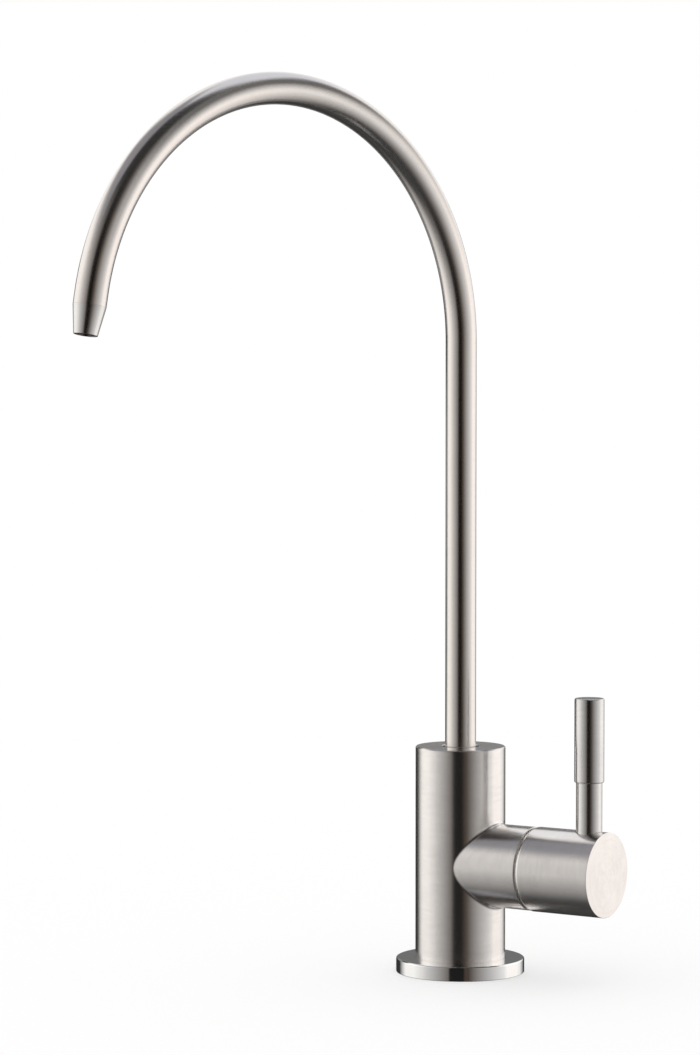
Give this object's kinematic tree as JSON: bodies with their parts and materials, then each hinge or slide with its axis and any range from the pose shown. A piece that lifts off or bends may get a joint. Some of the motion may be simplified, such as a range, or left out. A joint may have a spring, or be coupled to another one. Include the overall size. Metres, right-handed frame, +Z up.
{
  "type": "drinking water filter tap",
  "caption": "Slim deck-mounted water tap: round column on a base plate, swivel gooseneck spout with tapered nozzle, quarter-turn side lever, threaded shank with nut below.",
  "frame": {"origin": "centre of the base on the deck's top face, on the axis of column and shank", "axes": "+Z up along the column, +X along the valve arm to the lever, -Y to the front where the spout swings"},
  "size_m": [0.1142, 0.2115, 0.3945],
  "materials": {
    "satin_steel": "satin, fine turning lines",
    "tube_steel": "polished satin, fine lines along the tube",
    "polished_steel": "polished",
    "brass": "machined",
    "black_rubber": "matt",
    "white_plastic": "moulded, matt",
    "black_plastic": "moulded, matt",
    "ceramic": "lapped",
    "red_silicone": "matt",
    "black_steel": "black oxide"
  },
  "bodies": {
    "tap_body": {"body": "satin_steel", "base_plate": "polished_steel", "base_gasket": "black_rubber", "shank": "brass", "shank_seal": "white_plastic", "slip_washer": "white_plastic", "cartridge_housing": "brass", "housing_o_ring": "black_rubber", "seat_seal": "red_silicone", "fixed_disc": "ceramic", "wear_ring": "white_plastic"},
    "spout": {"spout_tube": "tube_steel", "spout_nozzle": "tube_steel", "flow_straightener": "white_plastic", "spout_spigot": "tube_steel", "bearing_ring": "white_plastic", "snap_ring": "polished_steel", "spout_o_rings": "black_rubber"},
    "handle": {"handle_hub": "satin_steel", "lever_rod": "satin_steel", "lever_grip": "satin_steel", "set_screw": "black_steel", "cartridge_stem": "brass", "moving_disc": "ceramic", "stem_o_rings": "black_rubber", "stem_clip": "polished_steel"},
    "deck_clamp": {"rubber_washer": "black_rubber", "spreader_washer": "black_plastic", "lock_washer": "polished_steel", "mounting_nut": "brass"}
  },
  "joints": [
    {"name": "spout_swivel", "type": "hinge", "parent": "tap_body", "child": "spout", "pos_m": [0, 0, 0], "axis": [0, 0, 1], "continuous": true},
    {"name": "handle_turn", "type": "hinge", "parent": "tap_body", "child": "handle", "pos_m": [0, 0, 0.0427], "axis": [1, 0, 0], "range_deg": [0, 90]},
    {"name": "clamp_travel", "type": "slide", "parent": "tap_body", "child": "deck_clamp", "axis": [0, 0, -1], "range_m": [-0.016, 0.036]}
  ]
}
